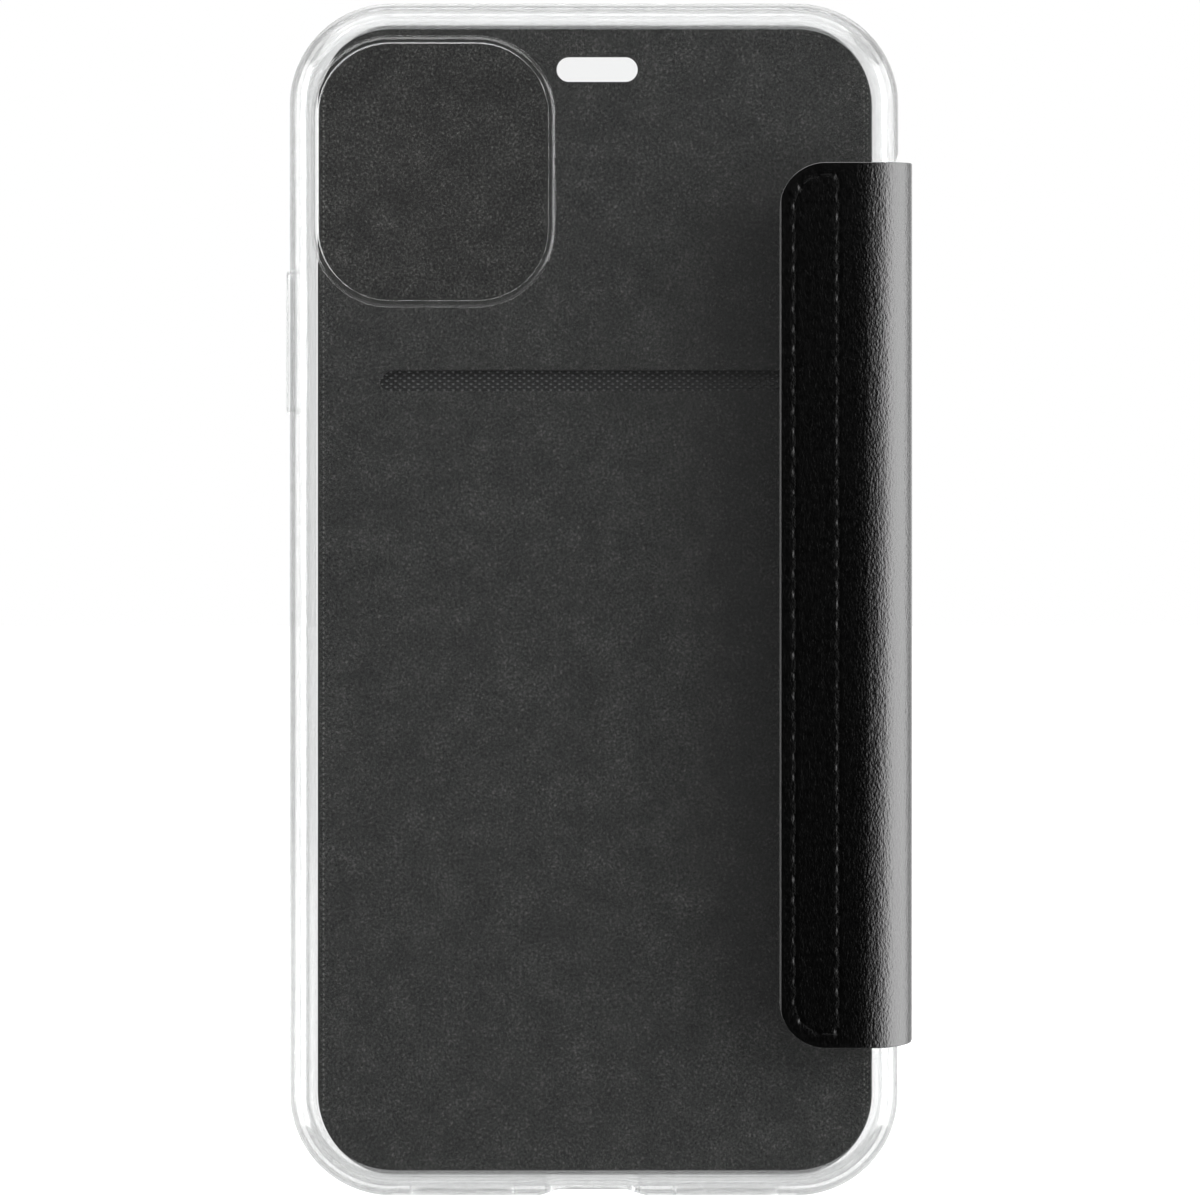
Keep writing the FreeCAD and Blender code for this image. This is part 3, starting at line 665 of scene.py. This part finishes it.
def punch(piece, outline):
    """Cuts a straight-sided hole with that outline right through the piece, along y."""
    points, _ = outline
    count = len(points)
    near_y, far_y = shell_low_mm.y, flap_high.y + 5
    corners = [row(x, y, z) for y in (near_y, far_y) for x, z in points]
    faces = [(i, (i + 1) % count, (i + 1) % count + count, i + count) for i in range(count)]
    faces += [tuple(range(count)), tuple(range(count, 2 * count))[::-1]]
    mesh = bpy.data.meshes.new("punch")
    mesh.from_pydata(corners, [], faces)
    turn_faces_out(mesh)
    cutter = link(bpy.data.objects.new("punch", mesh))
    cut = piece.modifiers.new("punch", "BOOLEAN")
    cut.object = cutter
    cut.operation = "DIFFERENCE"
    cut.solver = "EXACT"
    done = bpy.data.meshes.new_from_object(piece.evaluated_get(bpy.context.evaluated_depsgraph_get()))
    piece.modifiers.clear()
    piece.data = done
    bpy.data.objects.remove(cutter)


def make_front_leather():
    """The other half of the spine's leather and the flap's, one sheet shaped round the flap's fold."""
    across, up, exists = flap_grid(1.2)
    drop = rounding(np.maximum(flap_edge_distance(across, up), 0), 0.3)
    points, faces, uvs = skins(across, up, exists, strip_place, (drop, LEATHER - drop))
    piece = make_piece("strip_leather_front", "leather", points, faces, uvs)
    punch(piece, earpiece_hole())
    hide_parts("flap_leather")
    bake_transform(piece)
    return piece


def make_back_lining():
    """The lining under the tab and inside the spine, one sheet shaped round the spine's fold."""
    inset = 0.5
    end = FRONT_START - 1.2
    alongs = merged(inset + EDGE_STEPS, steps(inset + 0.34, TAB_RUN - FOLD, 0.6),
                    steps(TAB_RUN - FOLD, TAB_RUN, 0.025), steps(TAB_RUN, end, 0.3))
    across, up = strip_grid(alongs, 1.2)
    middle = (STRIP_LOW + STRIP_HIGH) / 2
    up = middle + (up - middle) * (1 - 2 * inset / (STRIP_HIGH - STRIP_LOW))
    lift = 0.03
    outer, inner = (np.full(across.shape, depth) for depth in (LEATHER + lift, LEATHER + LINING - lift))
    points, faces, uvs = skins(across, up, np.ones(across.shape, bool), strip_place, (outer, inner))
    piece = make_piece("strip_lining", "lining", points, faces, uvs)
    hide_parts("tab_lining", "spine_lining")
    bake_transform(piece)
    return piece


# ---------------------------------------------------------------- flat pieces of the flap

def rounded_loop(left, right, bottom, top, radius, count=14):
    """A rounded rectangle's points and outward normals, (x, z), anticlockwise."""
    points, normals = [], []
    for cx, cz, start in ((right - radius, bottom + radius, -90), (right - radius, top - radius, 0),
                          (left + radius, top - radius, 90), (left + radius, bottom + radius, 180)):
        for angle in np.radians(np.linspace(start, start + 90, count)):
            normal = (math.cos(angle), math.sin(angle))
            normals.append(normal)
            points.append((cx + radius * normal[0], cz + radius * normal[1]))
    return np.array(points), np.array(normals)


def slab(name, slot, outline, holes, near_y, far_y, edge, hole_edge):
    """A flat sheet between two depths with rounded outer edges and rounded hole edges."""
    bm = bmesh.new()
    caps = {0: [], 1: []}
    for (points, normals), radius, sign in [(outline, edge, 1)] + [(hole, hole_edge, -1) for hole in holes]:
        turns = np.radians(np.linspace(0, 90, 6))
        profile = [(radius * 2, near_y)]
        profile += [(radius * (1 - math.sin(t)), near_y + radius * (1 - math.cos(t))) for t in turns]
        profile += [(radius * (1 - math.cos(t)), far_y - radius * (1 - math.sin(t))) for t in turns]
        profile += [(radius * 2, far_y)]
        rings = []
        for inset, y in profile:
            place = points - sign * normals * inset
            rings.append([bm.verts.new(row(x, y, z)) for x, z in place])
        for ring, following in zip(rings, rings[1:]):
            for i in range(len(ring)):
                j = (i + 1) % len(ring)
                bm.faces.new((ring[i], ring[j], following[j], following[i]))
        for cap, ring in ((0, rings[0]), (1, rings[-1])):
            caps[cap] += [bm.edges.get((ring[i], ring[(i + 1) % len(ring)])) for i in range(len(ring))]
    for edges in caps.values():
        bmesh.ops.triangle_fill(bm, use_beauty=True, use_dissolve=False, edges=edges)
    bmesh.ops.recalc_face_normals(bm, faces=bm.faces)
    mesh = bpy.data.meshes.new(name)
    bm.to_mesh(mesh)
    bm.free()
    mesh.polygons.foreach_set("use_smooth", [True] * len(mesh.polygons))
    mesh.materials.append(materials[slot])
    piece = link(bpy.data.objects.new(name, mesh))
    return piece


def make_flap_lining():
    low, high = span("flap_lining")
    outline = rounded_loop(low.x, high.x, low.z, high.z, FLAP_CORNER - 0.15, 20)
    slot = rounded_loop(-SLOT_HALF, SLOT_HALF, SLOT_LOW, SLOT_LOW + SLOT_HEIGHT, SLOT_CORNER)
    holes = [slot, earpiece_hole()]
    piece = slab("flap_lining_cloth", "lining", outline, holes, low.y, high.y, 0.1, 0.06)
    in_row = [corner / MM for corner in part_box("flap_lining")]
    piece.data.materials[0] = lining_material("charcoal_lining_flap", in_row)
    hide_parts("flap_lining")
    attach(piece, "flap")
    return piece


make_back_leather()
make_front_leather()
make_back_lining()
make_flap_lining()
make_stitches("tab_needle_stitches", "tab_needle_thread", tab_low.y, 1, "shell")
make_stitches("tab_bobbin_stitches", "tab_bobbin_thread", span("tab_bobbin_thread")[1].y - 0.13, -1, "shell")


# ---------------------------------------------------------------- stage, lights and camera

def emission(name, strength, through):
    """A plain glow, with its own strength for light that comes through the clear plastic."""
    n = Nodes(name)
    passed = n.add("ShaderNodeLightPath").outputs["Is Transmission Ray"]
    level = n.math("ADD", n.math("MULTIPLY", passed, through - strength), strength)
    glow = n.add("ShaderNodeEmission", Strength=level)
    return n.finish(glow.outputs[0])


def panel(name, centre, facing, width, height, strength, through=None):
    """A flat softbox or dark card on the stage, turned to face a point, that the camera doesn't see."""
    mesh = bpy.data.meshes.new(name)
    w, h = width / 2, height / 2
    mesh.from_pydata([(-w, -h, 0), (w, -h, 0), (w, h, 0), (-w, h, 0)], [], [(0, 1, 2, 3)])
    mesh.materials.append(emission(name, strength, strength if through is None else through))
    thing = link(bpy.data.objects.new(name, mesh))
    thing.location = centre
    thing.rotation_mode = "QUATERNION"
    thing.rotation_quaternion = (Vector(facing) - Vector(centre)).to_track_quat("Z", "Y")
    thing.visible_camera = False
    thing.visible_shadow = False
    return thing


def make_curtain(name, side, top, stops):
    """A curved diffuser round one side of the case, 1 right or -1 left, with soft vertical ribs."""
    radius, low, high, rib = 1.9, -0.7, 1.1, 11
    bearings = np.radians(np.linspace(stops[0][0] - 1, stops[-1][0] + 12, 60))
    points = [(side * radius * math.sin(b), -radius * math.cos(b), z) for b in bearings for z in (low, high)]
    faces = [(2 * k, 2 * k + 2, 2 * k + 3, 2 * k + 1) for k in range(len(bearings) - 1)]
    mesh = bpy.data.meshes.new(name)
    mesh.from_pydata(points, [], faces)
    layer = mesh.uv_layers.new(name="bearing")
    for loop in mesh.loops:
        layer.data[loop.index].uv = (bearings[loop.vertex_index // 2] / math.pi, 0.5)
    n = Nodes(name)
    bearing = n.add("ShaderNodeUVMap", {"uv_map": "bearing"}).outputs["UV"]
    turned = n.add("ShaderNodeSeparateXYZ", Vector=bearing).outputs["X"]
    level = n.ramp(turned, *((angle / 180, share) for angle, share in stops))
    ribs = n.math("SINE", n.math("MULTIPLY", turned, 2 * math.pi * 180 / rib))
    level = n.math("MULTIPLY", level, n.math("ADD", n.math("MULTIPLY", ribs, 0.3), 1.0))
    glow = n.add("ShaderNodeEmission", Strength=n.math("MULTIPLY", level, top))
    mesh.materials.append(n.finish(glow.outputs[0]))
    curtain = link(bpy.data.objects.new(name, mesh))
    curtain.visible_camera = curtain.visible_shadow = curtain.visible_transmission = False
    return curtain


def make_world():
    """A white studio, dimmer to matt surfaces."""
    world = bpy.data.worlds.new("studio")
    bpy.context.scene.world = world
    world.use_nodes = True
    tree = world.node_tree
    background = tree.nodes["Background"]
    background.inputs["Color"].default_value = (1, 1, 1, 1)
    scattered = tree.nodes.new("ShaderNodeLightPath").outputs["Is Diffuse Ray"]
    dimmed = tree.nodes.new("ShaderNodeMapRange")
    dimmed.inputs["To Min"].default_value = 1.0
    dimmed.inputs["To Max"].default_value = 0.4
    tree.links.new(scattered, dimmed.inputs["Value"])
    tree.links.new(dimmed.outputs["Result"], background.inputs["Strength"])


def make_floor():
    """White paper that only the camera sees."""
    mesh = bpy.data.meshes.new("floor")
    reach = 30.0
    mesh.from_pydata([(-reach, -reach, 0), (reach, -reach, 0), (reach, reach, 0), (-reach, reach, 0)],
                     [], [(0, 1, 2, 3)])
    n = Nodes("floor_paper")
    paper = n.principled(Base_Color=(0.85, 0.85, 0.85, 1), Roughness=0.9, Emission_Color=(1, 1, 1, 1),
                         Emission_Strength=0.8)
    mesh.materials.append(n.finish(paper.outputs[0]))
    floor = link(bpy.data.objects.new("floor", mesh))
    floor.visible_glossy = floor.visible_transmission = floor.visible_diffuse = False


# Each curtain's stops: a bearing in degrees from the camera's side, and the share of the top glow there.
RIGHT_STOPS = ((10, 0.0), (14, 0.05), (19, 0.15), (25, 0.34), (34, 0.60), (46, 0.88), (60, 1.0), (90, 0.84),
               (111, 0.58), (132, 0.07))
LEFT_STOPS = ((42, 0.0), (54, 0.8), (84, 0.88), (101, 0.3), (136, 0.12))


def make_lights():
    """A dark card behind the camera, softboxes above to front and back, and a curtain at each side."""
    middle = (0, 0, 0.077)
    card = panel("dark_card", (-0.9, -2.6, 0.077), middle, 4.2, 4.0, 0.002, 0.22)
    card.visible_diffuse = False
    front = panel("softbox_front", (0.0, 1.2, 1.5), middle, 2.2, 1.0, 4.0)
    front.visible_transmission = False
    make_curtain("curtain_right", 1, 10.0, RIGHT_STOPS)
    top = panel("softbox_top", (-0.2, -1.05, 1.4), middle, 2.6, 1.9, 8.0)
    top.visible_diffuse = top.visible_transmission = False
    left = make_curtain("curtain_left", -1, 11.0, LEFT_STOPS)
    left.visible_diffuse = False


def make_camera():
    """A long lens square to the clear back."""
    data = bpy.data.cameras.new("camera")
    data.sensor_width = 36.0
    distance, frame_width = 1.4, 154.26
    data.lens = data.sensor_width * distance / (frame_width * MM)
    camera = link(bpy.data.objects.new("camera", data))
    camera.location = row(0.77, 0, 76.74) + Vector((0, -distance, 0))
    camera.rotation_euler = (math.pi / 2, 0, 0)
    data.clip_start = 0.01
    data.clip_end = 100
    bpy.context.scene.camera = camera


make_world()
make_floor()
make_lights()
make_camera()
bpy.context.scene.view_settings.view_transform = "Standard"
